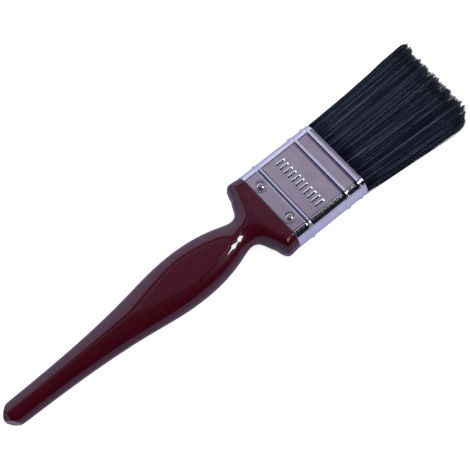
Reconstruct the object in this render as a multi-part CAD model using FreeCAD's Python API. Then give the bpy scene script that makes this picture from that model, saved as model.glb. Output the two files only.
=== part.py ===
"""Flat paint brush, 38 mm wide, with a beaver-tail wooden handle. All sizes in millimetres.

The brush is drawn lying flat. X runs along it towards the filament tips and is counted from the
ferrule's handle-end rim, Y runs across its width and Z is up. The export moves everything so that
the origin is in the middle of the length and width, on the plane that the brush lies on.
"""
import FreeCAD, Part
import math
import os

from FreeCAD import Vector

# Ferrule: formed steel band with flat faces and rounded narrow sides.
FERRULE_WIDTH = 38.0
FERRULE_THICKNESS = 12.5
FERRULE_LENGTH = 36.1
FERRULE_SHEET = 0.4
FERRULE_SIDE_ROUNDING = 4.8
RIM_BEAD_DISTANCE = 7.6
MOUTH_BEAD_DISTANCES = (9.4, 2.7)
BEAD_WIDTH = 2.2
BEAD_HEIGHT = 0.45
BEAD_ROOT_DEPTH = 0.1
RIB_COUNT = 11
RIB_ROW_MARGIN = 2.45
RIB_LENGTH = 4.8
RIB_WIDTH = 1.3
RIB_HEIGHT = 0.25
RIB_SHIFT = 0.8

# Handle: plan outline and thickness.
HANDLE_LENGTH = 130.7
TAIL_WIDTH = 10.4
TAIL_THICKNESS = 9.4
TAIL_GABLE_LENGTH = 4.8
TAIL_TIP_THICKNESS = 3.0
TAIL_HIP_LENGTH = 3.2
BELLY_POSITION = 42.0
BELLY_WIDTH = 23.0
BELLY_EDGE_REACH = 5.6
LONG_ROUND_POSITION = 70.0
LONG_ROUND_REACH = 8.5
WAIST_POSITION = 14.5
WAIST_WIDTH = 13.3
WAIST_SCOOP_DEPTH = 0.95
WAIST_EDGE_REACH = 7.2
WAIST_SCOOP_SPAN = 8.0
SHOULDER_OVERHANG = 0.4
SHOULDER_CORNER = 4.4
SHOULDER_INSET = 6.0
SHOULDER_BACK = 8.3
SHOULDER_EDGE_REACH = 4.0
TENON_LENGTH = 13.0
TENON_CLEARANCE = 0.1

# Nails that hold the tenon in the ferrule.
NAIL_POSITION = 3.3
NAIL_FLAT_INSET = 5.4
NAIL_HEAD_DIAMETER = 2.8
NAIL_HEAD_HEIGHT = 0.6
NAIL_SHANK_DIAMETER = 1.3
NAIL_TIP_GAP = 1.25
NAIL_POINT_LENGTH = 1.2

# Setting and spacer plug inside the ferrule.
SETTING_LENGTH = 6.0
PLUG_SIDE_GAP = 5.6
PLUG_THICKNESS = 2.6
PLUG_SEAT_DEPTH = 1.5
PLUG_TIP_CLEARANCE = 1.2

# Filaments: set root inside the ferrule, free part beyond the flex line.
FLEX_LINE_OFFSET = 1.5
KNUCKLE_FACE_GAP = 0.45
KNUCKLE_FLAT_OVERHANG = 1.3
KNUCKLE_CLEARANCE = 0.3
FREE_LENGTH = 55.4
FREE_ROOT_GAP = 0.3
FREE_SIDE_FLARE = 4.1
FREE_FACE_FLARE = 0.9
FREE_ROUNDING_EASE = 0.2

# Fineness of the sampled handle surface.
OUTLINE_SAMPLES = 40
SECTION_STEPS = 24

half_ferrule = FERRULE_THICKNESS / 2
flat_half_width = FERRULE_WIDTH / 2 - FERRULE_SIDE_ROUNDING
bead_positions = [RIM_BEAD_DISTANCE] + [FERRULE_LENGTH - distance for distance in MOUTH_BEAD_DISTANCES]
rib_position = (bead_positions[0] + bead_positions[1]) / 2 - RIB_SHIFT
rib_row_half = flat_half_width - RIB_ROW_MARGIN
nail_y = flat_half_width - NAIL_FLAT_INSET
nail_length = half_ferrule - NAIL_TIP_GAP
flex_line = FERRULE_LENGTH + FLEX_LINE_OFFSET
knuckle_radius = half_ferrule - FERRULE_SHEET - KNUCKLE_FACE_GAP
knuckle_width = 2 * (flat_half_width + KNUCKLE_FLAT_OVERHANG)
free_root_half = FERRULE_WIDTH / 2 - FERRULE_SHEET - FREE_ROOT_GAP
free_rounding = FERRULE_SIDE_ROUNDING - FREE_ROUNDING_EASE
tip_position = FERRULE_LENGTH + FREE_LENGTH
setting_end = TENON_LENGTH + SETTING_LENGTH
lowest_half = half_ferrule + max(BEAD_HEIGHT, NAIL_HEAD_HEIGHT)


def half_ellipse(x, y, outwards, reach, half_height):
    """Half-ellipse edge at plane x, bulging from y by reach, in the direction outwards (+1 or -1)."""
    centre = Vector(x, y, 0)
    up = Vector(x, y, half_height)
    out = Vector(x, y + outwards * reach, 0)
    if half_height >= reach:
        return Part.ArcOfEllipse(Part.Ellipse(up, out, centre), 0, math.pi).toShape()
    return Part.ArcOfEllipse(Part.Ellipse(out, up, centre), -math.pi / 2, math.pi / 2).toShape()


def band_section(x, half_width, half_height, flat_half):
    """Closed section across the brush: two flat faces joined by half-elliptical narrow sides."""
    reach = half_width - flat_half
    edges = [
        Part.makeLine(Vector(x, -flat_half, half_height), Vector(x, flat_half, half_height)),
        half_ellipse(x, flat_half, 1, reach, half_height),
        Part.makeLine(Vector(x, flat_half, -half_height), Vector(x, -flat_half, -half_height)),
        half_ellipse(x, -flat_half, -1, reach, half_height),
    ]
    return Part.Wire(Part.__sortEdges__(edges))


def band_prism(start, end, inset):
    """Solid with the ferrule's outer section reduced by inset, from plane start to plane end."""
    section = band_section(start, FERRULE_WIDTH / 2 - inset, half_ferrule - inset, flat_half_width)
    return Part.Face(section).extrude(Vector(end - start, 0, 0))


def bead_solid(position, inset):
    """Rolled bead all round the band, rising over the surface that lies inset inside the outside."""
    sections = []
    for step in range(-2, 3):
        share = step / 2
        rise = (BEAD_HEIGHT + BEAD_ROOT_DEPTH) * math.cos(share * math.pi / 2) - BEAD_ROOT_DEPTH
        grow = rise - inset
        x = position + share * BEAD_WIDTH / 2
        sections.append(band_section(x, FERRULE_WIDTH / 2 + grow, half_ferrule + grow, flat_half_width))
    return Part.makeLoft(sections, True)


def rib_solid(y):
    """Raised rib with round ends, pressed out of the front panel, running along the brush."""
    radius = RIB_WIDTH / 2
    straight = RIB_LENGTH - RIB_WIDTH
    base = half_ferrule - FERRULE_SHEET / 2
    height = RIB_HEIGHT + FERRULE_SHEET / 2
    start = rib_position - straight / 2
    middle = Part.makeBox(straight, RIB_WIDTH, height, Vector(start, y - radius, base))
    near_end = Part.makeCylinder(radius, height, Vector(start, y, base))
    far_end = Part.makeCylinder(radius, height, Vector(start + straight, y, base))
    return middle.fuse([near_end, far_end])


def make_nail(y, side):
    """Domed nail driven through the ferrule's face on the given side (+1 front, -1 back)."""
    head_radius = NAIL_HEAD_DIAMETER / 2
    shank_radius = NAIL_SHANK_DIAMETER / 2
    dome_top = Vector(0, 0, NAIL_HEAD_HEIGHT)
    dome_side = Vector(head_radius, 0, 0)
    chord = math.hypot(head_radius, NAIL_HEAD_HEIGHT)
    dome_radius = chord * chord / (2 * NAIL_HEAD_HEIGHT)
    lean = math.asin(head_radius / dome_radius) / 2
    dome_middle = Vector(
        dome_radius * math.sin(lean), 0, NAIL_HEAD_HEIGHT - dome_radius * (1 - math.cos(lean))
    )
    point_start = -(nail_length - NAIL_POINT_LENGTH)
    corners = [
        dome_side,
        Vector(shank_radius, 0, 0),
        Vector(shank_radius, 0, point_start),
        Vector(0, 0, -nail_length),
        dome_top,
    ]
    edges = [Part.Arc(dome_top, dome_middle, dome_side).toShape()]
    for first, second in zip(corners, corners[1:]):
        edges.append(Part.makeLine(first, second))
    nail = Part.Face(Part.Wire(edges)).revolve(Vector(0, 0, 0), Vector(0, 0, 1), 360)
    if side < 0:
        nail.rotate(Vector(0, 0, 0), Vector(1, 0, 0), 180)
    nail.translate(Vector(NAIL_POSITION, y, side * half_ferrule))
    return nail


def bezier(points, share):
    """Point of a cubic curve with four control points, at share 0 to 1 of its run."""
    rest = 1 - share
    weights = (rest**3, 3 * rest**2 * share, 3 * rest * share**2, share**3)
    x = sum(weight * point[0] for weight, point in zip(weights, points))
    y = sum(weight * point[1] for weight, point in zip(weights, points))
    return x, y


def handle_outline():
    """Half outline of the handle in plan, tail to ferrule: points (x, half width) with x rising."""
    tail_x = -HANDLE_LENGTH
    tail_y = TAIL_WIDTH / 2
    belly_x = -BELLY_POSITION
    belly_y = BELLY_WIDTH / 2
    waist_x = -WAIST_POSITION
    waist_y = WAIST_WIDTH / 2
    corner_y = FERRULE_WIDTH / 2 + SHOULDER_OVERHANG
    inner_y = corner_y - SHOULDER_INSET
    tail_run = belly_x - tail_x
    tail_rise = belly_y - tail_y
    front_run = waist_x - belly_x
    neck_run = -SHOULDER_BACK - waist_x
    neck_rise = inner_y - waist_y
    corner_rise = corner_y - inner_y
    curves = [
        [
            (tail_x, tail_y),
            (tail_x + 0.73 * tail_run, tail_y + 0.07 * tail_rise),
            (tail_x + 0.765 * tail_run, belly_y),
            (belly_x, belly_y),
        ],
        [
            (belly_x, belly_y),
            (belly_x + 0.62 * front_run, belly_y),
            (belly_x + 0.87 * front_run, waist_y),
            (waist_x, waist_y),
        ],
        [
            (waist_x, waist_y),
            (waist_x + 0.65 * neck_run, waist_y),
            (waist_x + 0.62 * neck_run, waist_y + 0.42 * neck_rise),
            (-SHOULDER_BACK, inner_y),
        ],
        [
            (-SHOULDER_BACK, inner_y),
            (-SHOULDER_BACK + 0.11 * neck_run, inner_y + 0.33 * corner_rise),
            (-1.65 * SHOULDER_CORNER, corner_y),
            (-SHOULDER_CORNER, corner_y),
        ],
        [
            (-SHOULDER_CORNER, corner_y),
            (-0.6 * SHOULDER_CORNER, corner_y),
            (-0.3 * SHOULDER_CORNER, FERRULE_WIDTH / 2),
            (0, FERRULE_WIDTH / 2),
        ],
    ]
    points = [curves[0][0]]
    for curve in curves:
        for step in range(1, OUTLINE_SAMPLES + 1):
            points.append(bezier(curve, step / OUTLINE_SAMPLES))
    return points


def between(table, x):
    """Value at x, in straight lines between the table's (x, value) rows, which rise in x."""
    for (low_x, low), (high_x, high) in zip(table, table[1:]):
        if x <= high_x:
            share = max(0.0, (x - low_x) / (high_x - low_x))
            return low + share * (high - low)
    return table[-1][1]


def centre_height(x):
    """Half thickness on the handle's planed faces: level at head and belly, scooped at the waist."""
    table = [
        (-HANDLE_LENGTH, TAIL_THICKNESS / 2),
        (-LONG_ROUND_POSITION, half_ferrule),
        (0, half_ferrule),
    ]
    height = between(table, x)
    off = (x + WAIST_POSITION) / WAIST_SCOOP_SPAN
    if abs(off) < 1:
        height -= WAIST_SCOOP_DEPTH * (1 + math.cos(math.pi * off)) / 2
    return height


def edge_reach(x):
    """How far the rounding of the long edges reaches in from the outline at x."""
    table = [
        (-HANDLE_LENGTH, LONG_ROUND_REACH),
        (-LONG_ROUND_POSITION, LONG_ROUND_REACH),
        (-BELLY_POSITION, BELLY_EDGE_REACH),
        (-WAIST_POSITION, WAIST_EDGE_REACH),
        (-SHOULDER_BACK, SHOULDER_EDGE_REACH),
        (0, FERRULE_SIDE_ROUNDING),
    ]
    return between(table, x)


def rounded_height(x, y, outline):
    """Half thickness of the handle at (x, y): a quarter ellipse from the outline in to the flat."""
    near_x, near_y = min(outline, key=lambda point: (point[0] - x) ** 2 + (point[1] - abs(y)) ** 2)
    depth = math.hypot(near_x - x, near_y - abs(y))
    reach = min(edge_reach(near_x), near_y)
    inward = 1 - min(1.0, depth / reach)
    return centre_height(x) * math.sqrt(max(0.0, 1 - inward * inward))


def knots_for(count):
    """Knots and their repeats for a smooth cubic with count control points that meets its end points."""
    inner = count - 4
    return list(range(inner + 2)), [4] + [1] * inner + [4]


def smooth_face(rows):
    """Smooth cubic face over a grid of control points."""
    row_knots, row_repeats = knots_for(len(rows))
    column_knots, column_repeats = knots_for(len(rows[0]))
    surface = Part.BSplineSurface()
    surface.buildFromPolesMultsKnots(
        rows, row_repeats, column_repeats, row_knots, column_knots, False, False, 3, 3
    )
    return surface.toShape()


def end_gap(edge, x):
    """Furthest distance of an edge's middle and ends from the plane at x."""
    first, last = edge.ParameterRange
    return max(abs(edge.valueAt(place).x - x) for place in (first, (first + last) / 2, last))


def handle_blank():
    """Handle up to the ferrule's rim, before the tail is cut: a front and a back surface and two ends."""
    outline = handle_outline()
    stations = outline[::5]
    front_rows = []
    back_rows = []
    for x, half_width in stations:
        front_row = []
        back_row = []
        for step in range(SECTION_STEPS + 1):
            angle = math.pi * (step / SECTION_STEPS - 0.5)
            y = half_width * math.sin(angle)
            z = 0.0 if step in (0, SECTION_STEPS) else rounded_height(x, y, outline)
            front_row.append(Vector(x, y, z))
            back_row.append(Vector(x, y, -z))
        front_rows.append(front_row)
        back_rows.append(back_row)
    faces = []
    for rows in (front_rows, back_rows):
        faces.append(smooth_face(rows))
    ends = []
    for end_x in (stations[0][0], stations[-1][0]):
        rims = [min(face.Edges, key=lambda edge: end_gap(edge, end_x)) for face in faces]
        ends.append(Part.Face(Part.Wire(rims)))
    shell = Part.makeShell(faces + ends)
    shell.sewShape(0.01)
    solid = Part.Solid(shell)
    return solid if solid.Volume > 0 else solid.reversed()


def polygon_prism(corners, direction):
    """Prism with the given corners as its base."""
    return Part.Face(Part.makePolygon(corners + corners[:1])).extrude(direction)


def tail_envelope():
    """Everything inside the gabled and hipped tail end: the blank is cut back to this."""
    reach = FERRULE_WIDTH
    back = -HANDLE_LENGTH
    gable_slope = TAIL_WIDTH / 2 / TAIL_GABLE_LENGTH
    gable_x = back + reach / gable_slope
    plan = [
        Vector(back, 0, -reach),
        Vector(gable_x, reach, -reach),
        Vector(reach, reach, -reach),
        Vector(reach, -reach, -reach),
        Vector(gable_x, -reach, -reach),
    ]
    tip = TAIL_TIP_THICKNESS / 2
    hip_slope = (TAIL_THICKNESS / 2 - tip) / TAIL_HIP_LENGTH
    hip_x = back + (reach - tip) / hip_slope
    side = [
        Vector(back, -reach, -tip),
        Vector(back, -reach, tip),
        Vector(hip_x, -reach, reach),
        Vector(reach, -reach, reach),
        Vector(reach, -reach, -reach),
        Vector(hip_x, -reach, -reach),
    ]
    gable = polygon_prism(plan, Vector(0, 0, 2 * reach))
    hips = polygon_prism(side, Vector(0, 2 * reach, 0))
    return gable.common(hips)


def make_handle(nails):
    """Handle with its gabled tail, tenon and nail holes."""
    tenon_inset = FERRULE_SHEET + TENON_CLEARANCE
    root_depth = SHOULDER_CORNER / 2
    tenon = band_prism(-root_depth, TENON_LENGTH, tenon_inset)
    handle = handle_blank().common(tail_envelope()).fuse(tenon)
    return handle.cut(nails)


def make_ferrule(nail_places):
    """Band with its beads, their hollow backs, nail holes and the ribs on its front panel."""
    band = band_prism(0, FERRULE_LENGTH, 0)
    band = band.fuse([bead_solid(position, 0) for position in bead_positions])
    hollow = band_prism(-1, FERRULE_LENGTH + 1, FERRULE_SHEET)
    hollow = hollow.fuse([bead_solid(position, FERRULE_SHEET) for position in bead_positions])
    rib_pitch = 2 * rib_row_half / (RIB_COUNT - 1)
    ribs = [rib_solid(-rib_row_half + number * rib_pitch) for number in range(RIB_COUNT)]
    ferrule = band.fuse(ribs).cut(hollow)
    holes = []
    for y, side in nail_places:
        start = Vector(NAIL_POSITION, y, side * half_ferrule / 2)
        holes.append(
            Part.makeCylinder(NAIL_SHANK_DIAMETER / 2, half_ferrule, start, Vector(0, 0, side))
        )
    return ferrule.cut(holes)


def make_plug():
    """Spacer strip that stands in the setting and parts the two filament layers."""
    start_x = setting_end - PLUG_SEAT_DEPTH
    length = flex_line - knuckle_radius - PLUG_TIP_CLEARANCE - start_x
    half_width = FERRULE_WIDTH / 2 - FERRULE_SHEET - PLUG_SIDE_GAP
    start = Vector(start_x, -half_width, -PLUG_THICKNESS / 2)
    return Part.makeBox(length, 2 * half_width, PLUG_THICKNESS, start)


def knuckle(radius, width):
    """Round bar across the brush, on the line about which the free filaments flex."""
    start = Vector(flex_line, -width / 2, 0)
    return Part.makeCylinder(radius, width, start, Vector(0, 1, 0))


def make_free_pack():
    """Free filaments of both layers as one solid: a knuckle at the flex line, flaring to the tips."""
    tip_half = free_root_half + FREE_SIDE_FLARE
    tip_height = knuckle_radius + FREE_FACE_FLARE
    root = band_section(flex_line, free_root_half, knuckle_radius, free_root_half - free_rounding)
    tips = band_section(tip_position, tip_half, tip_height, tip_half - free_rounding)
    flare = Part.makeLoft([root, tips], True, True)
    return flare.fuse(knuckle(knuckle_radius, knuckle_width)).removeSplitter()


def layer_space(side):
    """Everything on the front (+1) or back (-1) of the brush's middle plane."""
    size = 4 * tip_position
    low_z = 0 if side > 0 else -size
    return Part.makeBox(size, size, size, Vector(-size / 2, -size / 2, low_z))


nail_places = {
    "nail_front_left": (nail_y, 1),
    "nail_front_right": (-nail_y, 1),
    "nail_back_left": (nail_y, -1),
    "nail_back_right": (-nail_y, -1),
}
nodes = {name: make_nail(y, side) for name, (y, side) in nail_places.items()}
nodes["handle"] = make_handle(list(nodes.values()))
nodes["ferrule"] = make_ferrule(list(nail_places.values()))
nodes["spacer_plug"] = make_plug()
nodes["epoxy_setting"] = band_prism(TENON_LENGTH, setting_end, FERRULE_SHEET).cut(nodes["spacer_plug"])

root_pack = band_prism(setting_end, FERRULE_LENGTH, FERRULE_SHEET)
root_pack = root_pack.cut(nodes["spacer_plug"])
root_pack = root_pack.cut(knuckle(knuckle_radius + KNUCKLE_CLEARANCE, 2 * FERRULE_WIDTH))
free_pack = make_free_pack()
for layer, side in (("front", 1), ("back", -1)):
    nodes["filament_root_" + layer] = root_pack.common(layer_space(side))
    nodes["filaments_" + layer] = free_pack.common(layer_space(side))

middle = (tip_position - HANDLE_LENGTH) / 2
seat = Vector(-middle, 0, lowest_half)
os.makedirs("parts", exist_ok=True)
for name, shape in nodes.items():
    solids = shape.Solids
    if len(solids) != 1 or not shape.isValid():
        raise ValueError(f"{name} has {len(solids)} solids, valid: {shape.isValid()}")
    solid = solids[0].copy()
    solid.translate(seat)
    solid.exportStep(f"parts/{name}.step")
    box = solid.BoundBox
    print(
        f"{name}: {solid.Volume:.1f} mm3, x {box.XMin:.2f} to {box.XMax:.2f},"
        f" y {box.YMin:.2f} to {box.YMax:.2f}, z {box.ZMin:.2f} to {box.ZMax:.2f}"
    )
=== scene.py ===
"""Flat paint brush, 38 mm: lacquered beaver-tail handle, beaded steel ferrule, dark synthetic filaments.

Shapes are worked out in the brush's own coordinates: x along the brush from the ferrule's handle-end
rim towards the filament tips, y across it, z up from its middle plane. Lengths are in metres.
"""
import math

import bmesh
import bpy
import numpy as np
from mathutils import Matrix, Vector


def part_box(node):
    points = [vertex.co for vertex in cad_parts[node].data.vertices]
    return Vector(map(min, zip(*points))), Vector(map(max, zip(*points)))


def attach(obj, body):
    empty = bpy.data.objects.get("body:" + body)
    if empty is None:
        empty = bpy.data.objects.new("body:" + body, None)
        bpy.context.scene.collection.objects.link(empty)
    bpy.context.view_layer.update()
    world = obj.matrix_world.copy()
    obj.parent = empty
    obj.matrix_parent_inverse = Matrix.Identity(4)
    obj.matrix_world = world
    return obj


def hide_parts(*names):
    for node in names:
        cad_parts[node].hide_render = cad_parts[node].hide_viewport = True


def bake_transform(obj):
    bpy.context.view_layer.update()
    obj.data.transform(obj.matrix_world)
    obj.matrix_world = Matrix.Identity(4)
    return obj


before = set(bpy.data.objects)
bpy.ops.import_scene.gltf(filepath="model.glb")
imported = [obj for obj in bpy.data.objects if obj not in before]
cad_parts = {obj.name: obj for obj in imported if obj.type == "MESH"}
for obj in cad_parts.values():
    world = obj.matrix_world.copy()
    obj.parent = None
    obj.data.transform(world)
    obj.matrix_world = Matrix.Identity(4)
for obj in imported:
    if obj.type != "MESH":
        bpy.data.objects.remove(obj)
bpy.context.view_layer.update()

ferrule_low, ferrule_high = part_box("ferrule")
SEAT = np.array([ferrule_low.x, 0.0, (ferrule_low.z + ferrule_high.z) / 2])
MM = 0.001


# ---- Handle ------------------------------------------------------------------------------------
# One piece of hardwood, planed flat front and back, its long edges rounded with a cutter, its tail
# sawn to a gable, and dipped in deep red lacquer. The tenon goes into the ferrule and is nailed.
HANDLE_LENGTH = 130.7 * MM
TAIL_HALF = 5.2 * MM
TAIL_HALF_THICKNESS = 4.7 * MM
BELLY_X = -42.0 * MM
BELLY_HALF = 11.5 * MM
WAIST_X = -14.5 * MM
WAIST_HALF = 6.65 * MM
WAIST_HALF_THICKNESS = 5.3 * MM
WAIST_SCOOP_SPAN = 8.0 * MM
SHOULDER_X = -8.3 * MM
SHOULDER_INNER_HALF = 13.4 * MM
SHOULDER_CORNER = 4.4 * MM
SHOULDER_HALF = 19.4 * MM
BEAD_HEIGHT = 0.45 * MM
FERRULE_HALF = ferrule_high.y - BEAD_HEIGHT
FERRULE_HALF_THICKNESS = (ferrule_high.z - ferrule_low.z) / 2 - BEAD_HEIGHT
FERRULE_SHEET = 0.4 * MM
SIDE_ROUNDING = 4.8 * MM
TENON_LENGTH = 13.0 * MM
TENON_CLEARANCE = 0.1 * MM
RIM_ROUNDING = 0.45 * MM
ARRIS_SHARPNESS = 1.25
ARRIS_SOFTNESS = 0.035
GABLE_SLOPE = TAIL_HALF / (4.8 * MM)
HIP_SLOPE = 1.0
TAIL_NOSE = 0.5 * MM
TAIL_TIP_HALF = 1.5 * MM
FLAT_POINTS = 22
ROUND_POINTS = 46
SECTION_POINTS = 4 * (FLAT_POINTS + ROUND_POINTS)
ARRIS_TRIALS = 160
RING_STEP = 0.7 * MM
HEAD_STEP = 0.09 * MM
HEAD_START = -22 * MM
WELD = 0.002 * MM


def cubic_run(points, count):
    """Points of a cubic curve from four control points, evenly spaced in its own parameter."""
    t = np.linspace(0, 1, count)[:, None]
    a, b, c, d = np.array(points)
    return (1 - t) ** 3 * a + 3 * (1 - t) ** 2 * t * b + 3 * (1 - t) * t**2 * c + t**3 * d


def handle_outline():
    """Half outline in plan, tail to rim: five cubic curves through tail, belly, waist and shoulder."""
    tail = np.array([-HANDLE_LENGTH, TAIL_HALF])
    belly = np.array([BELLY_X, BELLY_HALF])
    waist = np.array([WAIST_X, WAIST_HALF])
    inner = np.array([SHOULDER_X, SHOULDER_INNER_HALF])
    corner = np.array([-SHOULDER_CORNER, SHOULDER_HALF])
    rim = np.array([0.0, FERRULE_HALF])
    back, front, neck, side = belly - tail, waist - belly, inner - waist, corner - inner
    runs = [
        [tail, tail + back * (0.73, 0.07), tail + back * (0.765, 1.0), belly],
        [belly, belly + front * (0.62, 0.0), belly + front * (0.87, 1.0), waist],
        [waist, waist + neck * (0.65, 0.0), waist + neck * (0.62, 0.42), inner],
        [inner, inner + (0.7 * MM, 0.33 * side[1]), corner * (1.65, 1.0), corner],
        [corner, corner * (0.6, 1.0), rim - (0.3 * SHOULDER_CORNER, 0.0), rim],
    ]
    counts = (120, 60, 60, 60, 24)
    return np.concatenate([cubic_run(run, count)[:-1] for run, count in zip(runs, counts)] + [[rim]])


def nearest_on_line(x, y, line):
    """Distance from each (x, y) to the polyline, and the nearest point on it."""
    start, run = line[:-1], np.diff(line, axis=0)
    length_squared = (run**2).sum(1)
    best = np.full(x.shape, np.inf)
    near = np.zeros(x.shape + (2,))
    for first in range(0, len(x), 24):
        part = slice(first, first + 24)
        point = np.stack([x[part], y[part]], -1)[..., None, :]
        share = (((point - start) * run).sum(-1) / length_squared).clip(0, 1)
        foot = start + share[..., None] * run
        gap = np.linalg.norm(point - foot, axis=-1)
        nearest = gap.argmin(-1)
        best[part] = np.take_along_axis(gap, nearest[..., None], -1)[..., 0]
        near[part] = np.take_along_axis(foot, nearest[..., None, None], -2)[..., 0, :]
    return best, near


def smooth_minimum(a, b, softness):
    """The smaller of a and b, with the corner between them rounded over about the softness."""
    return 0.5 * (a + b - np.sqrt((a - b) ** 2 + softness**2))


def rounding_share(x, y, outline):
    """How far (x, y) has come in from the outline, as a share of the rounding's reach there."""
    gap, near = nearest_on_line(x, np.abs(y), outline)
    reach_x = np.array([-HANDLE_LENGTH, -0.070, BELLY_X, WAIST_X, SHOULDER_X, 0.0])
    reach_y = np.array([8.5, 8.5, 5.6, 7.2, 4.0, 4.8]) * MM
    return gap / np.minimum(np.interp(near[..., 0], reach_x, reach_y), near[..., 1])


def handle_half_thickness(x, y, outline):
    """Half thickness at (x, y): a rounding that rises from the outline and meets the planed flat in
    a soft arris. The flat is level at head and belly, scooped at the waist and thinner at the tail."""
    share = rounding_share(x, y, outline).clip(0, ARRIS_SHARPNESS)
    rise = np.sqrt(1 - (1 - share / ARRIS_SHARPNESS) ** 2)
    rise = rise / math.sqrt(1 - (1 - 1 / ARRIS_SHARPNESS) ** 2)
    rise = smooth_minimum(rise, 1.0, ARRIS_SOFTNESS) * np.clip(rise / ARRIS_SOFTNESS, 0, 1)
    level_x = [-HANDLE_LENGTH, -0.070, 0.0]
    level_y = [TAIL_HALF_THICKNESS, FERRULE_HALF_THICKNESS, FERRULE_HALF_THICKNESS]
    level = np.interp(x, level_x, level_y)
    scoop = np.cos(((x - WAIST_X) / WAIST_SCOOP_SPAN).clip(-1, 1) * math.pi) / 2 + 0.5
    level = level - scoop * (FERRULE_HALF_THICKNESS - WAIST_HALF_THICKNESS)
    return level * rise


def ring_across(x, half_width, outline):
    """y of each ring's points, once round from the left edge. On each quarter, FLAT_POINTS lie evenly
    out to the arris and ROUND_POINTS from there to the edge, closing up on it as a sine does."""
    trial = np.linspace(0, 1, ARRIS_TRIALS)[None, :] * half_width[:, None]
    share = rounding_share(np.broadcast_to(x[:, None], trial.shape), trial, outline)
    flat_count = (share >= 1).cumprod(1).sum(1)
    arris = (flat_count / (ARRIS_TRIALS - 1)).clip(0.3, 0.96) * half_width
    smooth = np.ones(9) / 9
    arris = np.convolve(np.pad(arris, 4, "edge"), smooth, "valid")[:, None]
    inner = np.arange(FLAT_POINTS)[None, :] / FLAT_POINTS * arris
    turn = np.arange(ROUND_POINTS) / ROUND_POINTS * math.pi / 2
    outer = arris + (half_width[:, None] - arris) * np.sin(turn)[None, :]
    quarter = np.concatenate([inner, outer], 1)
    edge = half_width[:, None]
    left_half = np.concatenate([edge, quarter[:, :0:-1]], 1)
    right_half = -left_half
    back_to_middle = -quarter
    return np.concatenate([left_half, back_to_middle, right_half, quarter], 1)


def band_section(half_width, half_height, flat_half, count):
    """Closed section of the ferrule's form: flats joined by half-ellipses. count points go round it
    at even angles of a stretched circle, so they lie closer together on the narrow sides."""
    angle = np.linspace(0, 2 * math.pi, count, endpoint=False)
    across, up = np.cos(angle), np.sin(angle)
    y = half_width * across
    past = ((np.abs(y) - flat_half) / (half_width - flat_half)).clip(0, 1)
    z = half_height * np.sqrt(1 - past**2) * np.sign(np.where(np.abs(up) < 1e-9, 0, up))
    return np.stack([y, z], -1)


def grid_mesh(name, rows, wrap_rows=False):
    """Mesh over a grid of points: each row is a closed ring of points, and each joins the next.
    Rings that close to one point keep all their points here; finished_piece can weld them."""
    count, ring = rows.shape[:2]
    index = np.arange(count * ring).reshape(count, ring)
    index = np.concatenate([index, index[:1]]) if wrap_rows else index
    here, there = index[:-1], index[1:]
    quads = np.stack([here, np.roll(here, -1, 1), np.roll(there, -1, 1), there], -1).reshape(-1, 4)
    mesh = bpy.data.meshes.new(name)
    mesh.vertices.add(count * ring)
    mesh.vertices.foreach_set("co", (rows + SEAT).astype(np.float32).ravel())
    mesh.loops.add(quads.size)
    mesh.loops.foreach_set("vertex_index", quads.astype(np.int32).ravel())
    mesh.polygons.add(len(quads))
    mesh.polygons.foreach_set("loop_start", np.arange(0, quads.size, 4, dtype=np.int32))
    mesh.update(calc_edges=True)
    mesh.validate()
    return mesh


def finished_piece(name, mesh, weld=0.0):
    """Object for a mesh, at the origin and smooth shaded; points closer than weld are joined."""
    work = bmesh.new()
    work.from_mesh(mesh)
    if weld:
        bmesh.ops.remove_doubles(work, verts=work.verts, dist=weld)
        bmesh.ops.dissolve_degenerate(work, dist=weld / 4, edges=work.edges)
    bmesh.ops.recalc_face_normals(work, faces=work.faces)
    work.to_mesh(mesh)
    work.free()
    mesh.polygons.foreach_set("use_smooth", np.ones(len(mesh.polygons), bool))
    piece = bpy.data.objects.new(name, mesh)
    bpy.context.scene.collection.objects.link(piece)
    return piece


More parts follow.
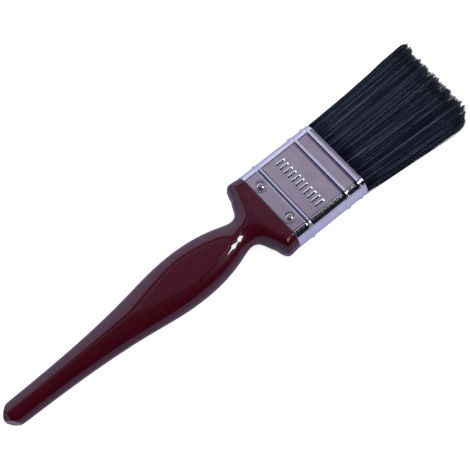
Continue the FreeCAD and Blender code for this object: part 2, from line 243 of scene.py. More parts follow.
def handle_rows():
    """Rings of the handle, tail to tenon. The blank's section is cut back to the gable in plan and
    to the hips above and below, both with a rounded nose: root((u + r)^2 - r^2) at u from the end."""
    outline = handle_outline()
    nose_x = -HANDLE_LENGTH + 7 * MM * np.linspace(0, 1, 70) ** 2
    run = np.concatenate([nose_x[:-1], np.arange(nose_x[-1], HEAD_START, RING_STEP)])
    head = outline[outline[:, 0] > HEAD_START][:, 0]
    forward = np.maximum.accumulate(head)
    kept = [forward[0]]
    for place in forward:
        if place - kept[-1] > HEAD_STEP:
            kept.append(place)
    x = np.concatenate([run[run < kept[0] - 0.1 * MM], kept])
    half_width = np.interp(x, np.maximum.accumulate(outline[:, 0]), outline[:, 1])
    y = ring_across(x, half_width, outline)
    side = np.ones(SECTION_POINTS)
    side[SECTION_POINTS // 2:] = -1
    side[[0, SECTION_POINTS // 2]] = 0
    along = np.broadcast_to(x[:, None], y.shape)
    z = handle_half_thickness(along, y, outline) * side
    from_end = (x + HANDLE_LENGTH)[:, None]
    eased = np.sqrt((from_end + TAIL_NOSE) ** 2 - TAIL_NOSE**2)
    y_limit = GABLE_SLOPE * eased
    z_limit = TAIL_TIP_HALF * np.minimum(1, eased / TAIL_NOSE) + HIP_SLOPE * eased
    softness = 0.5 * MM * (from_end / (1 * MM)).clip(0, 1)
    y = np.sign(y) * smooth_minimum(np.abs(y), y_limit, softness).clip(0)
    z = np.sign(z) * smooth_minimum(np.abs(z), z_limit, softness).clip(0)
    body = np.stack([along, y, z], -1)
    edge = []
    for turn in np.linspace(0, math.pi / 2, 5)[1:]:
        inset = RIM_ROUNDING * (1 - math.cos(turn))
        ring = body[-1] * (1, 1 - inset / FERRULE_HALF, 1 - inset / FERRULE_HALF_THICKNESS)
        edge.append(ring - (RIM_ROUNDING * (1 - math.sin(turn)), 0, 0))
    body = body[x < -RIM_ROUNDING]
    inset = FERRULE_SHEET + TENON_CLEARANCE
    flat = FERRULE_HALF - SIDE_ROUNDING
    section = band_section(FERRULE_HALF - inset, FERRULE_HALF_THICKNESS - inset, flat, SECTION_POINTS)
    tenon = []
    for place, size in ((0, 1), (0.3, 1), (12.7, 1), (13, 0.97), (13, 0.5), (13, 0.0)):
        ring = np.column_stack([np.full(SECTION_POINTS, place * MM), section * size])
        tenon.append(ring)
    return np.concatenate([body, edge, tenon])


handle = finished_piece("lacquered_handle", grid_mesh("lacquered_handle", handle_rows()), weld=WELD)
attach(handle, "brush")
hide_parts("handle")


def node_group(name, inputs, outputs):
    """Empty shader node group with named float or vector inputs and float outputs."""
    group = bpy.data.node_groups.new(name, "ShaderNodeTree")
    for label, kind, value in inputs:
        socket = group.interface.new_socket(name=label, in_out="INPUT", socket_type="NodeSocket" + kind)
        if kind == "Float":
            socket.default_value = value
    for label in outputs:
        group.interface.new_socket(name=label, in_out="OUTPUT", socket_type="NodeSocketFloat")
    return group, group.nodes.new("NodeGroupInput"), group.nodes.new("NodeGroupOutput")


def long_grain_group():
    """Fine streaks that run along the brush: noise on coordinates squeezed across the grain."""
    group, inside, outside = node_group(
        "long_grain",
        [("Vector", "Vector", None), ("Along", "Float", 30.0), ("Across", "Float", 900.0)],
        ["Streak", "Drift"],
    )
    stretch = group.nodes.new("ShaderNodeCombineXYZ")
    group.links.new(inside.outputs["Along"], stretch.inputs["X"])
    group.links.new(inside.outputs["Across"], stretch.inputs["Y"])
    group.links.new(inside.outputs["Across"], stretch.inputs["Z"])
    scaled = group.nodes.new("ShaderNodeVectorMath")
    scaled.operation = "MULTIPLY"
    group.links.new(inside.outputs["Vector"], scaled.inputs[0])
    group.links.new(stretch.outputs["Vector"], scaled.inputs[1])
    for label, detail, share in (("Streak", 4.0, 1.0), ("Drift", 1.0, 0.21)):
        eased = group.nodes.new("ShaderNodeVectorMath")
        eased.operation = "SCALE"
        eased.inputs["Scale"].default_value = share
        group.links.new(scaled.outputs["Vector"], eased.inputs[0])
        noise = group.nodes.new("ShaderNodeTexNoise")
        noise.inputs["Scale"].default_value = 1.0
        noise.inputs["Detail"].default_value = detail
        group.links.new(eased.outputs["Vector"], noise.inputs["Vector"])
        group.links.new(noise.outputs["Fac"], outside.inputs[label])
    return group


def mottle_group():
    """Soft uneven patches and specks, as dust, handling and casting leave them."""
    group, inside, outside = node_group(
        "mottle", [("Vector", "Vector", None), ("Size", "Float", 200.0)], ["Patch", "Speck"]
    )
    for label, factor, detail in (("Patch", 1.0, 3.0), ("Speck", 9.0, 2.0)):
        scale = group.nodes.new("ShaderNodeMath")
        scale.operation = "MULTIPLY"
        scale.inputs[1].default_value = factor
        group.links.new(inside.outputs["Size"], scale.inputs[0])
        noise = group.nodes.new("ShaderNodeTexNoise")
        noise.inputs["Detail"].default_value = detail
        group.links.new(inside.outputs["Vector"], noise.inputs["Vector"])
        group.links.new(scale.outputs["Value"], noise.inputs["Scale"])
        group.links.new(noise.outputs["Fac"], outside.inputs[label])
    return group


LONG_GRAIN = long_grain_group()
MOTTLE = mottle_group()


class Finish:
    """A material being built: its node tree, its shader and short ways to add the usual nodes."""

    def __init__(self, name, **sockets):
        self.material = bpy.data.materials.new(name)
        self.material.use_nodes = True
        self.tree = self.material.node_tree
        self.shader = self.tree.nodes["Principled BSDF"]
        self.place = self.tree.nodes.new("ShaderNodeTexCoord").outputs["Object"]
        for label, value in sockets.items():
            self.shader.inputs[label.replace("_", " ")].default_value = value

    def group(self, tree, **values):
        """A shared node group, reading Object coordinates, with its own values."""
        node = self.tree.nodes.new("ShaderNodeGroup")
        node.node_tree = tree
        self.tree.links.new(self.place, node.inputs["Vector"])
        for label, value in values.items():
            node.inputs[label].default_value = value
        return node.outputs

    def ramp(self, source, stops):
        """Colours between (position, colour) stops, or greys between (position, number) stops."""
        node = self.tree.nodes.new("ShaderNodeValToRGB")
        self.tree.links.new(source, node.inputs["Fac"])
        while len(node.color_ramp.elements) < len(stops):
            node.color_ramp.elements.new(0.5)
        for element, (position, colour) in zip(node.color_ramp.elements, stops):
            element.position = position
            grey = isinstance(colour, float)
            element.color = (colour, colour, colour, 1) if grey else (*colour, 1)
        return node.outputs["Color"]

    def mix(self, factor, first, second, blend="MIX"):
        """Two colours mixed by a factor, which may be a socket or a number."""
        node = self.tree.nodes.new("ShaderNodeMix")
        node.data_type = "RGBA"
        node.blend_type = blend
        for label, value in (("Factor_Float", factor), ("A_Color", first), ("B_Color", second)):
            socket = next(s for s in node.inputs if s.identifier == label)
            if isinstance(value, bpy.types.NodeSocket):
                self.tree.links.new(value, socket)
            else:
                socket.default_value = value if label == "Factor_Float" else (*value, 1)
        return next(s for s in node.outputs if s.identifier == "Result_Color")

    def feed(self, source, label):
        """A worked-out value or colour into one of the shader's sockets."""
        self.tree.links.new(source, self.shader.inputs[label])

    def bump(self, source, distance, strength=1.0):
        """Relief from a height, the distance being that of its full range."""
        node = self.tree.nodes.new("ShaderNodeBump")
        node.inputs["Distance"].default_value = distance
        node.inputs["Strength"].default_value = strength
        self.tree.links.new(source, node.inputs["Height"])
        self.feed(node.outputs["Normal"], "Normal")

    def attribute(self, name):
        """One of the mesh's own values."""
        node = self.tree.nodes.new("ShaderNodeAttribute")
        node.attribute_name = name
        return node.outputs["Fac"]


lacquer = Finish(
    "wine_lacquer", Specular_IOR_Level=0.1, Coat_Weight=1.0, Coat_Roughness=0.035, Coat_IOR=1.5
)
grain = lacquer.group(LONG_GRAIN, Along=18.0, Across=420.0)
stain = lacquer.ramp(grain["Streak"], [(0.3, (0.034, 0.0006, 0.0042)), (0.7, (0.042, 0.0010, 0.0060))])
depth = lacquer.group(MOTTLE, Size=45.0)
thicker = lacquer.ramp(depth["Patch"], [(0.35, 0.0), (0.7, 0.35)])
lacquer.feed(lacquer.mix(thicker, stain, (0.026, 0.0005, 0.0036)), "Base Color")
lacquer.feed(lacquer.ramp(depth["Speck"], [(0.3, 0.22), (0.75, 0.34)]), "Roughness")
lacquer.bump(depth["Patch"], 0.02 * MM)
handle.data.materials.append(lacquer.material)


# ---- Ferrule -----------------------------------------------------------------------------------
# Bright nickel-plated steel strip, bent into a band and closed on a narrow side. Beads are rolled
# all round to stiffen it, its front panel carries pressed ribs, and the nails pull small dimples.
FERRULE_LENGTH = ferrule_high.x - ferrule_low.x
BEAD_PLACES = np.array([7.6, 26.7, 33.4]) * MM
BEAD_HALF_WIDTH = 0.55 * MM
STEP_HEIGHT = 0.15 * MM
STEP_HALF_WIDTH = 1.2 * MM
GROOVE_DEPTH = 0.14 * MM
GROOVE_HALF_WIDTH = 0.35 * MM
NAIL_X = 3.3 * MM
NAIL_Y = 8.8 * MM
DIMPLE_DEPTH = 0.12 * MM
DIMPLE_RADIUS = 2.0 * MM
RIB_X = 16.35 * MM
RIB_PITCH = 2.35 * MM
RIB_COUNT = 11
RIB_HALF_LENGTH = 2.4 * MM
RIB_HALF_WIDTH = 0.65 * MM
RIB_HEIGHT = 0.25 * MM


def ferrule_lift(x):
    """How far the sheet stands off its plain form: at each place a round bead, on a low rounded step
    towards the mouth, or between two fine grooves on the bead that is nearest to the handle."""
    lift = np.zeros_like(x)
    for number, place in enumerate(BEAD_PLACES):
        off = np.abs(x - place)
        bead = (BEAD_HEIGHT - STEP_HEIGHT) * np.cos((off / BEAD_HALF_WIDTH).clip(0, 1) * math.pi / 2)
        step = STEP_HEIGHT * (1 - (off / STEP_HALF_WIDTH).clip(0, 1) ** 6) ** 2
        groove = (1 - ((off - BEAD_HALF_WIDTH - GROOVE_HALF_WIDTH) / GROOVE_HALF_WIDTH) ** 2).clip(0)
        lift += bead * 1.45 - GROOVE_DEPTH * groove**2 if number == 0 else bead + step
    return lift


def panel_relief(x, y, front):
    """Height pressed out of the flats: a ring-shaped dip round each nail, and ribs on the front."""
    relief = np.zeros(np.broadcast(x, y).shape)
    for nail_y in (-NAIL_Y, NAIL_Y):
        off = np.hypot(x - NAIL_X, y - nail_y) / DIMPLE_RADIUS
        relief -= DIMPLE_DEPTH * np.exp(-((off * 1.6) ** 2))
        relief += 0.35 * DIMPLE_DEPTH * np.exp(-(((off - 1.15) / 0.22) ** 2))
    for number in range(RIB_COUNT if front else 0):
        rib_y = (number - (RIB_COUNT - 1) / 2) * RIB_PITCH
        reach = np.maximum(np.abs(x - RIB_X) - (RIB_HALF_LENGTH - RIB_HALF_WIDTH), 0)
        off = np.hypot(reach, y - rib_y) / RIB_HALF_WIDTH
        relief += RIB_HEIGHT * (0.5 + 0.5 * np.cos(off.clip(0, 1) * math.pi))
    return relief


def ferrule_rows():
    """Rings of the closed sheet: along the outside to the mouth, round its folded lip, back along the
    inside, and round the cut edge. Points are denser where the panel is worked."""
    flat = FERRULE_HALF - SIDE_ROUNDING
    fine = np.linspace(-1, 1, 175) * 12.7 * MM
    outer_ends = np.linspace(12.7 * MM, flat, 6)[1:]
    front = np.concatenate([-outer_ends[::-1], fine, outer_ends])[::-1]
    coarse = np.linspace(-flat, flat, 91)
    turn = np.linspace(0, math.pi, 42)[1:-1]
    side = flat + SIDE_ROUNDING * np.sin(turn)
    y = np.concatenate([front, -side, coarse, side])
    height = FERRULE_HALF_THICKNESS
    sides = height * np.cos(turn)
    z = np.concatenate([np.full(len(front), height), sides, np.full(len(coarse), -height), -sides])
    past = ((np.abs(y) - flat) / SIDE_ROUNDING).clip(0) * np.sign(y)
    normal = np.stack([past / SIDE_ROUNDING, z / height / height], -1)
    normal /= np.linalg.norm(normal, axis=1)[:, None]
    is_front, is_back = z >= height * 0.999, z <= -height * 0.999
    worked = np.arange(RIB_X - 2.7 * MM, RIB_X + 2.7 * MM, 0.16 * MM)
    beads = [np.linspace(-1.8, 1.8, 27) * MM + place for place in BEAD_PLACES]
    nails = np.linspace(0.35 * MM, 5.7 * MM, 20)
    gaps = [np.linspace(9.6, 13.4, 6) * MM, np.linspace(19.3, 24.7, 7) * MM, np.linspace(28.7, 31.4, 5) * MM]
    x = np.unique(np.round(np.concatenate([nails, *beads, worked, *gaps]), 6))
    x = x[(x > 0.3 * MM) & (x < FERRULE_LENGTH - 0.45 * MM)]
    edge = FERRULE_SHEET / 2
    roll = np.linspace(0, math.pi, 9)
    centre = FERRULE_LENGTH - edge
    places = [(0.12 * MM, 0.0, 1.0)]
    places += [(place, 0.0, 1.0) for place in x]
    places += [(centre + edge * math.sin(t), -edge + edge * math.cos(t), 0.0) for t in roll]
    places += [(place, -FERRULE_SHEET, 1.0) for place in x[::-3]]
    places += [(0.12 * MM, -FERRULE_SHEET, 1.0), (0.0, -0.3 * MM, 0.0), (0.0, -0.1 * MM, 0.0)]
    rows = []
    for place, offset, worked_share in places:
        lift = ferrule_lift(np.array([place]))[0] * worked_share + offset
        relief = np.where(is_front, panel_relief(place, y, True), 0)
        relief += np.where(is_back, panel_relief(place, y, False), 0)
        off = lift + relief * worked_share
        rows.append(np.column_stack([np.full(len(y), place), y + normal[:, 0] * off, z + normal[:, 1] * off]))
    return np.array(rows)


ferrule = finished_piece("beaded_ferrule", grid_mesh("beaded_ferrule", ferrule_rows(), wrap_rows=True))
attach(ferrule, "brush")
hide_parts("ferrule")

nickel = Finish("bright_nickel", Metallic=1.0, Roughness=0.16)
rolling = nickel.group(LONG_GRAIN, Along=1500.0, Across=60.0)
handling = nickel.group(MOTTLE, Size=160.0)
tone = nickel.ramp(handling["Patch"], [(0.3, (0.72, 0.70, 0.715)), (0.7, (0.80, 0.78, 0.795))])
nickel.feed(tone, "Base Color")
nickel.feed(nickel.ramp(rolling["Streak"], [(0.3, 0.07), (0.7, 0.15)]), "Roughness")
nickel.bump(rolling["Streak"], 0.004 * MM)
ferrule.data.materials.append(nickel.material)


# ---- Nails -------------------------------------------------------------------------------------
# Four short domed nails of warm-toned bright steel, two from each face, driven through the ferrule
# into the tenon. The hammer leaves each dome slightly dished in its middle.
NAIL_HEAD_RADIUS = 1.4 * MM
NAIL_HEAD_HEIGHT = 0.6 * MM
NAIL_SHANK_RADIUS = 0.65 * MM
NAIL_LENGTH = 5.0 * MM


def nail_rows(side, y):
    """Rings of a turned nail: point, shank, underside of the head, dome and the dished crown."""
    profile = [
        (0.0, -NAIL_LENGTH),
        (0.35 * NAIL_SHANK_RADIUS, -0.9 * NAIL_LENGTH),
        (NAIL_SHANK_RADIUS, -0.76 * NAIL_LENGTH),
        (NAIL_SHANK_RADIUS, -0.1 * MM),
        (NAIL_HEAD_RADIUS * 0.98, -0.05 * MM),
    ]
    for turn in np.linspace(0, 1, 14):
        radius = NAIL_HEAD_RADIUS * math.cos(turn * math.pi / 2)
        dish = 0.22 * NAIL_HEAD_HEIGHT * math.exp(-((radius / NAIL_HEAD_RADIUS / 0.38) ** 2))
        profile.append((radius, NAIL_HEAD_HEIGHT * math.sin(turn * math.pi / 2) - dish))
    angle = np.linspace(0, 2 * math.pi, 40, endpoint=False)
    rows = []
    for radius, height in profile:
        ring_x = NAIL_X + radius * np.cos(angle)
        ring_y = y + radius * np.sin(angle)
        ring_z = np.full(len(angle), side * (FERRULE_HALF_THICKNESS + height - 0.1 * MM))
        rows.append(np.column_stack([ring_x, ring_y, ring_z]))
    return np.array(rows)


nail_steel = Finish("warm_nail_steel", Metallic=1.0)
worn = nail_steel.group(MOTTLE, Size=900.0)
nail_steel.feed(
    nail_steel.ramp(worn["Patch"], [(0.35, (0.55, 0.46, 0.33)), (0.65, (0.90, 0.86, 0.78))]), "Base Color"
)
nail_steel.feed(nail_steel.ramp(worn["Speck"], [(0.3, 0.06), (0.7, 0.2)]), "Roughness")
nail_steel.bump(worn["Patch"], 0.05 * MM)
for face, side in (("front", 1), ("back", -1)):
    for hand, y in (("left", NAIL_Y), ("right", -NAIL_Y)):
        name = f"domed_nail_{face}_{hand}"
        nail = finished_piece(name, grid_mesh(name, nail_rows(side, y)), weld=WELD)
        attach(nail, "brush")
        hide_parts(f"nail_{face}_{hand}")
        nail.data.materials.append(nail_steel.material)


# ---- Setting and spacer plug -------------------------------------------------------------------
# Hidden in the ferrule: cast epoxy that grips the filament butts, and a thin limewood strip that
# parts the two layers and keeps room for paint between them.
epoxy = Finish("amber_epoxy", Roughness=0.12, IOR=1.5)
cast = epoxy.group(MOTTLE, Size=300.0)
epoxy.feed(epoxy.ramp(cast["Patch"], [(0.3, (0.34, 0.19, 0.05)), (0.7, (0.52, 0.34, 0.12))]), "Base Color")
epoxy.feed(epoxy.ramp(cast["Speck"], [(0.3, 0.08), (0.7, 0.3)]), "Roughness")
epoxy.bump(cast["Patch"], 0.1 * MM)
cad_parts["epoxy_setting"].data.materials.clear()
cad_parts["epoxy_setting"].data.materials.append(epoxy.material)

limewood = Finish("sawn_limewood", Roughness=0.6)
sawn = limewood.group(LONG_GRAIN, Along=60.0, Across=1400.0)
wood_tones = [(0.3, (0.42, 0.27, 0.13)), (0.7, (0.66, 0.5, 0.3))]
limewood.feed(limewood.ramp(sawn["Streak"], wood_tones), "Base Color")
limewood.feed(limewood.ramp(sawn["Drift"], [(0.3, 0.5), (0.7, 0.75)]), "Roughness")
limewood.bump(sawn["Streak"], 0.05 * MM)
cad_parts["spacer_plug"].data.materials.clear()
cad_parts["spacer_plug"].data.materials.append(limewood.material)

packed = Finish("packed_filament_butts", Roughness=0.5)
butts = packed.group(LONG_GRAIN, Along=30.0, Across=5000.0)
butt_tones = [(0.35, (0.004, 0.005, 0.009)), (0.7, (0.025, 0.028, 0.045))]
packed.feed(packed.ramp(butts["Streak"], butt_tones), "Base Color")
packed.feed(packed.ramp(butts["Drift"], [(0.3, 0.4), (0.7, 0.6)]), "Roughness")
packed.bump(butts["Streak"], 0.15 * MM)
for layer in ("front", "back"):
    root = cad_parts[f"filament_root_{layer}"]
    root.data.materials.clear()
    root.data.materials.append(packed.material)


# ---- Filaments ---------------------------------------------------------------------------------
# Two layers of tapered dark navy synthetic filaments, set in the ferrule. They flare towards the
# trimmed tips, gather in small locks there, and a few stray ones stand off the narrow side.
free_low, free_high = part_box("filaments_front")
MOUTH_X = FERRULE_LENGTH - 1.2 * MM
TIP_X = free_high.x - ferrule_low.x
MOUTH_HALF = FERRULE_HALF - FERRULE_SHEET - 0.15 * MM
MOUTH_HALF_THICKNESS = FERRULE_HALF_THICKNESS - FERRULE_SHEET - 0.15 * MM
TIP_HALF = free_high.y
TIP_HALF_THICKNESS = free_high.z - SEAT[2]
FILAMENT_RADIUS = 0.15 * MM
FILAMENTS_PER_PIECE = 3600
FILAMENT_STATIONS = 8
PIECES_PER_LAYER = 2
LOCKS = 42
rng = np.random.default_rng(38)
lock_pull = rng.uniform(-1, 1, LOCKS + 1)


def trim_line(y):
    """Where the tips end for each y: nearly square across, longer on the left, rounded off right."""
    lean = 0.9 * MM * y / TIP_HALF + 1.3 * MM * ((y / TIP_HALF - 0.6) / 0.4).clip(0)
    right = (-(y / TIP_HALF) - 0.55).clip(0) / 0.45
    return TIP_X - 0.3 * MM + lean - 3.0 * MM * right**2.6


def filament_layer(side, count, generator):
    """Centre lines and radii of one layer's filaments. Each starts at a random place in the mouth's
    half section, keeps its share of the section while the bundle flares, bows a little (inwards on
    the left), leans towards its lock near the tip, and tapers in its last third."""
    u = generator.uniform(-1, 1, count)
    depth = generator.uniform(0, 1, count) ** 0.45
    surface = generator.uniform(0, 1, count) < 0.45
    depth = np.where(surface, generator.uniform(0.93, 1.0, count), depth)
    edge = generator.uniform(0, 1, count) < 0.12
    u = np.where(edge, np.sign(u) * generator.uniform(0.93, 1.0, count), u)
    t = np.linspace(0, 1, FILAMENT_STATIONS)[None, :]
    past = ((np.abs(u) - 0.76) / 0.24).clip(0)
    form = np.sqrt((1 - past**2).clip(0))
    y0 = u * MOUTH_HALF
    z0 = side * depth * form * MOUTH_HALF_THICKNESS
    spread = generator.normal(0, 0.22 * MM, count)
    y1 = u * np.where(u > 0, TIP_HALF - 1.3 * MM, TIP_HALF - 0.1 * MM) + spread
    y1 = y1.clip(-TIP_HALF - 0.4 * MM, TIP_HALF - 1.0 * MM)
    lock = (u + 1) / 2 * (LOCKS - 0.5) + (0.5 if side < 0 else 0.0)
    lock = lock + generator.normal(0, 0.12, count)
    nearest = np.round(lock)
    pull = (nearest - lock) / LOCKS * 2 * TIP_HALF * 0.8
    z1 = side * depth * form * (TIP_HALF_THICKNESS - 0.25 * MM) + generator.normal(0, 0.2 * MM, count)
    end = trim_line(y1) - generator.exponential(1.2 * MM, count)
    end += 0.9 * MM * lock_pull[nearest.astype(int).clip(0, LOCKS)]
    short = generator.uniform(0, 1, count) < 0.16
    end -= np.where(short, generator.uniform(0, 7 * MM, count), 0)
    x = MOUTH_X + (end - MOUTH_X)[:, None] * t
    sideways = generator.normal(0, 0.12 * MM, count) - 0.65 * MM * u.clip(0)
    bow = np.sin(math.pi * t) * sideways[:, None]
    lift = np.sin(math.pi * t) * generator.normal(0, 0.08 * MM, count)[:, None]
    y = y0[:, None] + (y1 - y0)[:, None] * t + bow + pull[:, None] * t**4
    z = z0[:, None] + (z1 - z0)[:, None] * t + lift
    radius = FILAMENT_RADIUS * generator.uniform(0.75, 1.2, count)[:, None] * (1 - 0.8 * (t**3.2))
    return np.stack([x, y, z], -1), np.broadcast_to(radius, x.shape)


def strand_shade(y, generator):
    """Each filament's shade, 0 to 1: mostly that of its place across the bundle, partly its own. The streaks
    this makes are partly random tone and partly painted sheen; a few get the top shade, a painted glint."""
    place = (y / MOUTH_HALF + 1) / 2
    fine = np.interp(place, np.linspace(0, 1, 171), generator.uniform(0, 1, 171) ** 1.5)
    broad = np.interp(place, np.linspace(0, 1, 33), generator.uniform(0, 1, 33))
    shade = 0.56 * fine + 0.05 * broad + 0.39 * generator.uniform(0, 1, len(y)) ** 1.4
    # A few filaments get the top shade: a painted glint in their base colour, not a lighter dye.
    painted_glint = generator.uniform(0, 1, len(y)) < 0.05
    return np.where(painted_glint, generator.uniform(0.9, 1, len(y)), shade * 0.92)


def tube_mesh(name, lines, radii, shade):
    """Three-sided tapering tubes about the given centre lines, closed at both ends. Each point keeps
    its filament's shade and its share of the way to the tip as the attributes strand and along."""
    count, stations = lines.shape[:2]
    turn = np.arange(3) * 2 * math.pi / 3
    tilt = np.linspace(0, 2 * math.pi, count, endpoint=False)[:, None, None]
    ring_y = np.cos(turn + tilt) * radii[..., None]
    ring_z = np.sin(turn + tilt) * radii[..., None]
    points = np.repeat(lines[:, :, None, :], 3, 2)
    points[..., 1] += ring_y
    points[..., 2] += ring_z
    index = np.arange(count * stations * 3).reshape(count, stations, 3)
    here, there = index[:, :-1], index[:, 1:]
    quads = np.stack([here, np.roll(here, -1, 2), np.roll(there, -1, 2), there], -1).reshape(-1, 4)
    ends = np.concatenate([index[:, 0, ::-1], index[:, -1]])
    corners = np.concatenate([quads.ravel(), ends.ravel()]).astype(np.int32)
    sizes = np.concatenate([np.full(len(quads), 4), np.full(len(ends), 3)])
    mesh = bpy.data.meshes.new(name)
    mesh.vertices.add(points.size // 3)
    mesh.vertices.foreach_set("co", (points + SEAT).astype(np.float32).ravel())
    mesh.loops.add(len(corners))
    mesh.loops.foreach_set("vertex_index", corners)
    mesh.polygons.add(len(sizes))
    mesh.polygons.foreach_set("loop_start", (np.cumsum(sizes) - sizes).astype(np.int32))
    mesh.polygons.foreach_set("use_smooth", sizes == 4)
    mesh.update(calc_edges=True)
    share = np.linspace(0, 1, stations)[None, :, None]
    for label, values in (("strand", shade[:, None, None]), ("along", share)):
        layer = mesh.attributes.new(label, "FLOAT", "POINT")
        layer.data.foreach_set("value", np.broadcast_to(values, index.shape).astype(np.float32).ravel())
    piece = bpy.data.objects.new(name, mesh)
    bpy.context.scene.collection.objects.link(piece)
    return piece


navy = Finish("navy_filament", Specular_Tint=(0.62, 0.76, 1.0, 1.0))
strand = navy.attribute("strand")
along = navy.attribute("along")
# Dark navy dye at the low end; the light end of this ramp is painted sheen and glint, not dye.
dye_and_painted_sheen = navy.ramp(
    strand,
    [
        (0.0, (0.0006, 0.0008, 0.0020)),
        (0.35, (0.0016, 0.0020, 0.0056)),
        (0.6, (0.0062, 0.0078, 0.0185)),
        (0.82, (0.029, 0.036, 0.066)),
        (1.0, (0.100, 0.114, 0.160)),
    ],
)
tipped = navy.mix(navy.ramp(along, [(0.93, 0.0), (1.0, 0.35)]), dye_and_painted_sheen, (0.085, 0.088, 0.10))
navy.feed(tipped, "Base Color")
navy.feed(navy.ramp(strand, [(0.0, 0.5), (1.0, 0.26)]), "Roughness")
navy.feed(navy.ramp(strand, [(0.15, 0.10), (0.85, 0.60)]), "Specular IOR Level")


def place_filaments(piece, node):
    """A filament piece gets the navy finish and its place baked into its points; its part, if named, is
    hidden.
    """
    piece.data.materials.append(navy.material)
    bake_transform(piece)
    if node:
        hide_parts(node)


for layer, side in (("front", 1), ("back", -1)):
    for part in range(PIECES_PER_LAYER):
        lines, radii = filament_layer(side, FILAMENTS_PER_PIECE, rng)
        shade = strand_shade(lines[:, 0, 1], rng)
        piece = tube_mesh(f"filaments_{layer}_{part + 1}", lines, radii, shade)
        place_filaments(piece, f"filaments_{layer}" if part == 0 else None)

STRAYS = 9
t = np.linspace(0, 1, 9)[None, :]
reach = rng.uniform(0.85, 1.0, STRAYS)[:, None]
stray_x = MOUTH_X + (TIP_X - MOUTH_X) * reach * t
fan = rng.uniform(0.8, 2.0, STRAYS)[:, None] * MM
stray_lines = np.stack(
    [
        stray_x,
        -(MOUTH_HALF - 0.4 * MM + (TIP_HALF - MOUTH_HALF) * reach * t + fan * t**1.4),
        rng.uniform(-0.7, 0.7, STRAYS)[:, None] * MOUTH_HALF_THICKNESS * (1 + 0.2 * t),
    ],
    -1,
)
stray_radii = FILAMENT_RADIUS * 0.95 * (1 - 0.6 * t**2) * np.ones((STRAYS, 1))
strays = tube_mesh("stray_filaments", stray_lines, stray_radii, rng.uniform(0.1, 0.5, STRAYS))
place_filaments(strays, None)


# ---- Bundle core -------------------------------------------------------------------------------
# The filaments' dense middle, which no light passes: it fills the bundle behind the outer ones.
core_rows = []
for share in np.linspace(0, 1, 12):
    half = MOUTH_HALF - 0.5 * MM + (TIP_HALF - MOUTH_HALF - 0.6 * MM) * share
    height = MOUTH_HALF_THICKNESS - 0.5 * MM + (TIP_HALF_THICKNESS - MOUTH_HALF_THICKNESS - 0.5 * MM) * share
    ring = band_section(half, height, half * 0.76, 120)
    reach_x = MOUTH_X + (trim_line(ring[:, 0]) - 7 * MM - MOUTH_X) * share
    core_rows.append(np.column_stack([reach_x, ring]))
core_rows.append(core_rows[-1] * (1, 0, 0))
core_rows[-1][:, 0] = core_rows[-1][:, 0].mean()
core_rows.insert(0, core_rows[0] * (1, 0, 0))
core = finished_piece("filament_core", grid_mesh("filament_core", np.array(core_rows)), weld=WELD)
packed_core = Finish("dense_filament_core", Roughness=0.6)
inner = packed_core.group(LONG_GRAIN, Along=40.0, Across=4000.0)
core_tones = [(0.35, (0.002, 0.0025, 0.005)), (0.7, (0.012, 0.014, 0.026))]
packed_core.feed(packed_core.ramp(inner["Streak"], core_tones), "Base Color")
packed_core.feed(packed_core.ramp(inner["Drift"], [(0.3, 0.5), (0.7, 0.7)]), "Roughness")
packed_core.bump(inner["Streak"], 0.25 * MM)
core.data.materials.append(packed_core.material)
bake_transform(core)


# ---- Studio ------------------------------------------------------------------------------------
# White paper floor under the lying brush. A pale wall stands on its left, a dim panel hangs above
# and the room is dark on its right, so the gloss shows both edges. A small lamp adds the glints.
floor_mesh = bpy.data.meshes.new("studio_floor")
floor_mesh.from_pydata([(-3, -3, 0), (3, -3, 0), (3, 3, 0), (-3, 3, 0)], [], [(0, 1, 2, 3)])
floor = bpy.data.objects.new("studio_floor", floor_mesh)
bpy.context.scene.collection.objects.link(floor)
paper = Finish("studio_paper", Roughness=0.9, Specular_IOR_Level=0.0)
fibre = paper.group(MOTTLE, Size=30.0)
seen = paper.ramp(fibre["Patch"], [(0.3, (0.62, 0.62, 0.625)), (0.7, (0.64, 0.64, 0.645))])
reflected = paper.ramp(fibre["Patch"], [(0.3, (0.38, 0.38, 0.55)), (0.7, (0.40, 0.40, 0.57))])
to_camera = paper.tree.nodes.new("ShaderNodeLightPath").outputs["Is Camera Ray"]
paper.feed(paper.mix(to_camera, reflected, seen), "Base Color")
paper.feed(paper.mix(to_camera, (0.0, 0.0, 0.0), (0.80, 0.80, 0.805)), "Emission Color")
paper.shader.inputs["Emission Strength"].default_value = 1.0
floor_mesh.materials.append(paper.material)

world = bpy.data.worlds.new("studio_surround")
bpy.context.scene.world = world
world.use_nodes = True
sky = world.node_tree
direction = sky.nodes.new("ShaderNodeSeparateXYZ")
sky.links.new(sky.nodes.new("ShaderNodeTexCoord").outputs["Generated"], direction.inputs["Vector"])


def sky_ramp(stops):
    """Colours between (height of the direction, colour) stops."""
    node = sky.nodes.new("ShaderNodeValToRGB")
    sky.links.new(direction.outputs["Z"], node.inputs["Fac"])
    while len(node.color_ramp.elements) < len(stops):
        node.color_ramp.elements.new(0.5)
    for element, (position, colour) in zip(node.color_ramp.elements, stops):
        element.position = position
        element.color = (*colour, 1)
    return node.outputs["Color"]


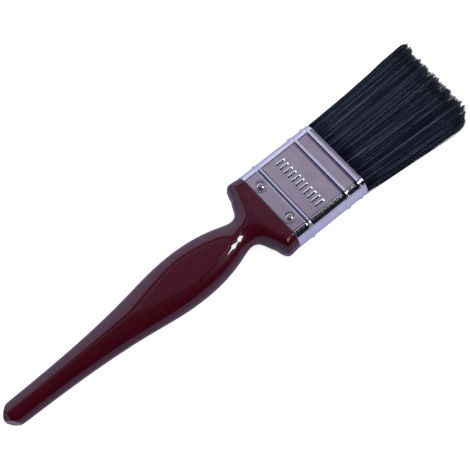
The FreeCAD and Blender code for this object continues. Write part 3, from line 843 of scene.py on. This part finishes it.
pale_side = sky_ramp(
    [
        (0.0, (0.70, 0.72, 1.02)),
        (0.70, (0.78, 0.81, 1.17)),
        (0.76, (0.03, 0.03, 0.045)),
        (0.82, (0.03, 0.03, 0.045)),
        (0.87, (0.33, 0.290, 0.395)),
        (0.905, (0.39, 0.343, 0.455)),
        (0.925, (0.19, 0.148, 0.243)),
        (1.0, (0.12, 0.088, 0.165)),
    ]
)
dark_side = sky_ramp(
    [
        (0.0, (0.44, 0.445, 0.61)),
        (0.24, (0.40, 0.405, 0.555)),
        (0.30, (0.012, 0.012, 0.02)),
        (1.0, (0.010, 0.010, 0.016)),
    ]
)
backwards = sky.nodes.new("ShaderNodeMath")
backwards.operation = "MINIMUM"
backwards.inputs[1].default_value = 0.0
sky.links.new(direction.outputs["X"], backwards.inputs[0])
leftness = sky.nodes.new("ShaderNodeMath")
leftness.operation = "MULTIPLY_ADD"
leftness.inputs[1].default_value = 0.6
sky.links.new(backwards.outputs["Value"], leftness.inputs[0])
sky.links.new(direction.outputs["Y"], leftness.inputs[2])
left_share = sky.nodes.new("ShaderNodeMapRange")
left_share.interpolation_type = "SMOOTHSTEP"
left_share.inputs["From Min"].default_value = 0.06
left_share.inputs["From Max"].default_value = 0.20
sky.links.new(leftness.outputs["Value"], left_share.inputs["Value"])
both = sky.nodes.new("ShaderNodeMix")
both.data_type = "RGBA"
sky.links.new(left_share.outputs["Result"], both.inputs[0])
sky.links.new(dark_side, both.inputs[6])
sky.links.new(pale_side, both.inputs[7])
sky.links.new(both.outputs[2], sky.nodes["Background"].inputs["Color"])


def soft_light(name, place, size, power, colour, glints=True):
    """Rectangular area light facing the middle of the brush; without glints, gloss doesn't show it."""
    light = bpy.data.lights.new(name, "AREA")
    light.shape = "RECTANGLE"
    light.size, light.size_y = size
    light.energy = power
    light.color = colour
    lamp = bpy.data.objects.new(name, light)
    lamp.location = place
    lamp.rotation_euler = (-lamp.location).to_track_quat("-Z", "Y").to_euler()
    lamp.visible_glossy = glints
    bpy.context.scene.collection.objects.link(lamp)


soft_light("overhead_softbox", (0.0, 0.0, 1.2), (1.6, 1.6), 17.0, (1.0, 0.985, 1.0), glints=False)
soft_light("key_lamp", (0.60, -0.32, 0.80), (0.22, 0.34), 5.0, (0.90, 0.93, 1.0))
soft_light("edge_lamp", (0.36, -0.02, 0.94), (0.05, 0.16), 0.045, (1.0, 1.0, 1.0))


# ---- Camera ------------------------------------------------------------------------------------
camera_data = bpy.data.cameras.new("camera")
camera_data.lens = 97.75
camera_data.sensor_width = 36.0
camera = bpy.data.objects.new("camera", camera_data)
camera.location = (-0.11890, -0.15581, 0.47143)
camera.rotation_euler = [math.radians(angle) for angle in (23.18156, 1.09184, -40.38756)]
bpy.context.scene.collection.objects.link(camera)
bpy.context.scene.camera = camera
bpy.context.scene.view_settings.view_transform = "Standard"
